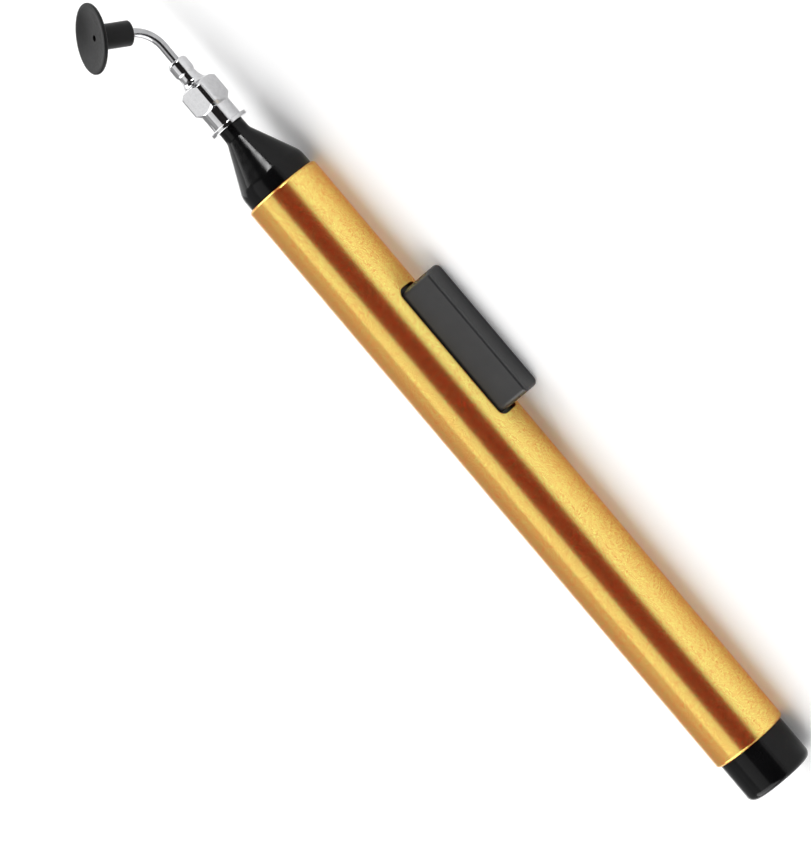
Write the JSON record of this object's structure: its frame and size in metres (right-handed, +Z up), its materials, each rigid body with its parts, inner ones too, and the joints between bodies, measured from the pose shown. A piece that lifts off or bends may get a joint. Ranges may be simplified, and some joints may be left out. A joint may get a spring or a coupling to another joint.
{
  "type": "vacuum pick up pen",
  "caption": "Hand-held vacuum pen: a slim tube with a push button over a squeeze bulb, a tapered nose, and a bent swivelling needle with a rubber suction cup for lifting small parts.",
  "frame": {"origin": "middle of the floor under the pen's box, with the pen lying on its barrel and on one edge of its button", "axes": "+X along the pen toward its nose, +Z up, the button toward -Y"},
  "size_m": [0.1554, 0.018, 0.0173],
  "materials": {
    "gold_anodised": "satin gold anodised, fine grain",
    "black_gloss": "moulded black gloss",
    "button_black": "moulded black semi-gloss",
    "bulb_rubber": "soft matte rubber",
    "plated_hub": "turned and bright plated",
    "needle_steel": "drawn stainless tube",
    "cup_rubber": "smooth matte rubber"
  },
  "bodies": {
    "barrel": {"barrel_tube": "gold_anodised", "end_cap": "black_gloss", "nose_cone": "black_gloss", "squeeze_bulb": "bulb_rubber"},
    "button": {"push_button": "button_black"},
    "nozzle": {"nozzle_hub": "plated_hub", "needle_tube": "needle_steel"},
    "cup": {"suction_cup": "cup_rubber"}
  },
  "joints": [
    {"name": "button_press", "type": "slide", "parent": "barrel", "child": "button", "axis": [0, 0.9232, 0.3843], "range_m": [0, 0.0045], "stiffness_N_per_m": 750, "springref_m": -0.001, "deforming": ["squeeze_bulb"]},
    {"name": "nozzle_swivel", "type": "hinge", "parent": "barrel", "child": "nozzle", "pos_m": [0.04985, 0.00275, 0.00625], "axis": [1, 0, 0], "continuous": true},
    {"name": "cup_pull", "type": "slide", "parent": "nozzle", "child": "cup", "axis": [0.4384, -0.0251, 0.8984], "range_m": [0, 0.005]}
  ]
}
